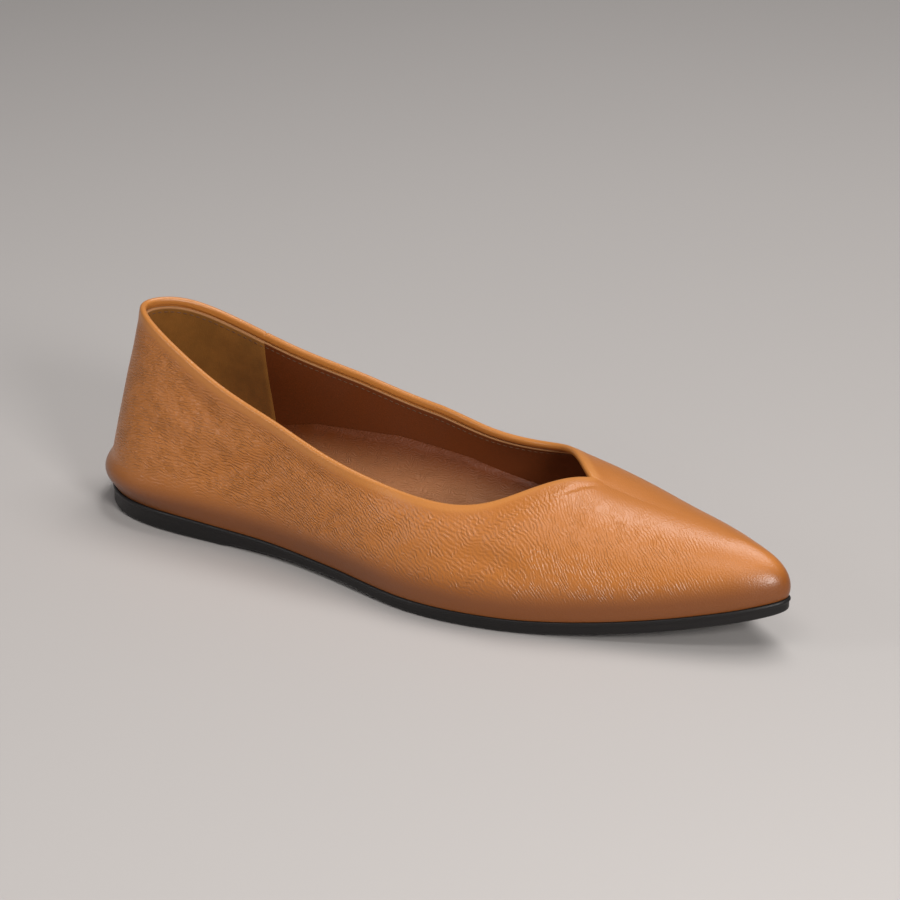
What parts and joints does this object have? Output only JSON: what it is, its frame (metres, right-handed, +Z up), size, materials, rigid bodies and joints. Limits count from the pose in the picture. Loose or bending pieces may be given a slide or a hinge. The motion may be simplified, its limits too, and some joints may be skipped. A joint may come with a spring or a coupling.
{
  "type": "pointed toe flat shoe",
  "caption": "Pointed toe flat slip-on for the right foot: hollow leather upper with a V throat, low one-piece rubber outsole and insole.",
  "frame": {"origin": "on the floor, in the middle of the shoe's box", "axes": "+X towards the toe, +Y towards the inner (medial) side of the right foot, +Z up"},
  "size_m": [0.2636, 0.079, 0.0717],
  "materials": {
    "outsole_rubber": "satin black moulded rubber",
    "upper_leather": "tan softly creased leather, satin",
    "footbed_leather": "matte brown lining leather"
  },
  "bodies": {
    "root": {"outsole": "outsole_rubber", "upper": "upper_leather", "insole": "footbed_leather"}
  },
  "joints": []
}
